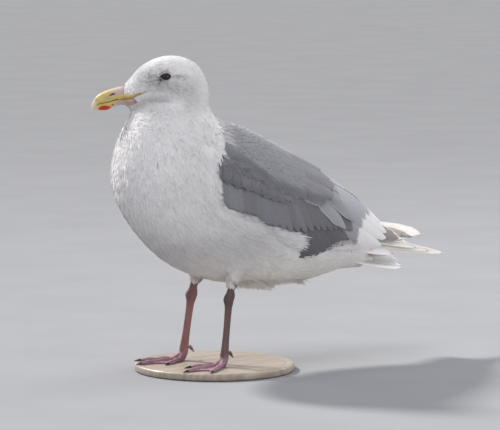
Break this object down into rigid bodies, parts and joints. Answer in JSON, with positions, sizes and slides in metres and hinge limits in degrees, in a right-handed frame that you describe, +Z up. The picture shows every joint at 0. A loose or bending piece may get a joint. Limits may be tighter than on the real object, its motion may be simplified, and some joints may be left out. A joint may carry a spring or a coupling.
{
  "type": "standing gull",
  "caption": "Life-size adult glaucous-winged gull standing still with its wings folded and its head turned to its right, on a plain round board.",
  "frame": {"origin": "bottom centre of the part's box, on the underside of the round base", "axes": "+Z up; the body heads along -X, so the tail and wing tips are at +X; the bird's left side faces -Y and its bill points along -X and +Y, as the head is turned to its right"},
  "size_m": [0.4778, 0.19, 0.3745],
  "materials": {
    "white_plumage": "soft white body feathers, matt, faintly dusky on the head and grey on the mantle",
    "grey_plumage": "smooth mid-grey wing feathers with paler edges and white tips",
    "pale_feathers": "long smooth whitish feathers with a grey patch near the wing's end",
    "bill_horn": "satin horn, yellow with a pinkish base and a red-orange spot by the lower tip",
    "leg_skin": "scaly dull pink skin, smoother and purplish on the webs",
    "claw_horn": "satin dark horn",
    "eye": "wet and glossy, very dark brown",
    "base_wood": "plain satin wood"
  },
  "bodies": {
    "root": {"head": "white_plumage", "neck": "white_plumage", "trunk": "white_plumage", "tail": "white_plumage", "thigh_left": "white_plumage", "thigh_right": "white_plumage", "wing_left": "grey_plumage", "wing_right": "grey_plumage", "primaries_left": "pale_feathers", "primaries_right": "pale_feathers", "bill_upper": "bill_horn", "bill_lower": "bill_horn", "eye_left": "eye", "eye_right": "eye", "shank_left": "leg_skin", "shank_right": "leg_skin", "foot_left": "leg_skin", "foot_right": "leg_skin", "hind_toe_left": "leg_skin", "hind_toe_right": "leg_skin", "claw_inner_left": "claw_horn", "claw_middle_left": "claw_horn", "claw_outer_left": "claw_horn", "claw_hind_left": "claw_horn", "claw_inner_right": "claw_horn", "claw_middle_right": "claw_horn", "claw_outer_right": "claw_horn", "claw_hind_right": "claw_horn", "stand_base": "base_wood"}
  },
  "joints": []
}
